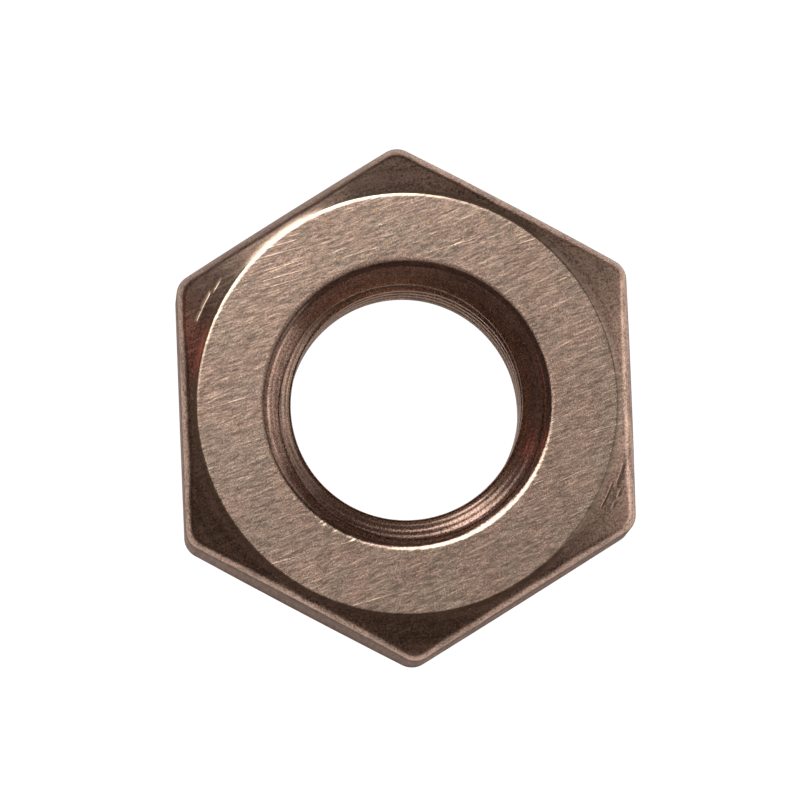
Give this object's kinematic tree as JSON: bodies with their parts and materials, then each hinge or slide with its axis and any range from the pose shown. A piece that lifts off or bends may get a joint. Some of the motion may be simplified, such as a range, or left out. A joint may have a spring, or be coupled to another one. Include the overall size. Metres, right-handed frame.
{
  "type": "hex nut",
  "caption": "Metric hex nut with chamfered, rounded corners, countersunk bore mouths and a right-hand internal thread; it screws onto a bolt or stud to clamp a joint.",
  "frame": {"origin": "centre of the bore at the lower bearing face, the face that the nut lies on", "axes": "+Z along the bore axis, up from the lower bearing face; +X square to a pair of flats; +Y through a corner"},
  "size_m": [0.013, 0.0148, 0.0065],
  "materials": {
    "bronze": "brown silicon bronze, as machined, tumbled and lightly tarnished"
  },
  "bodies": {
    "root": {"hex_nut": "bronze"}
  },
  "joints": []
}
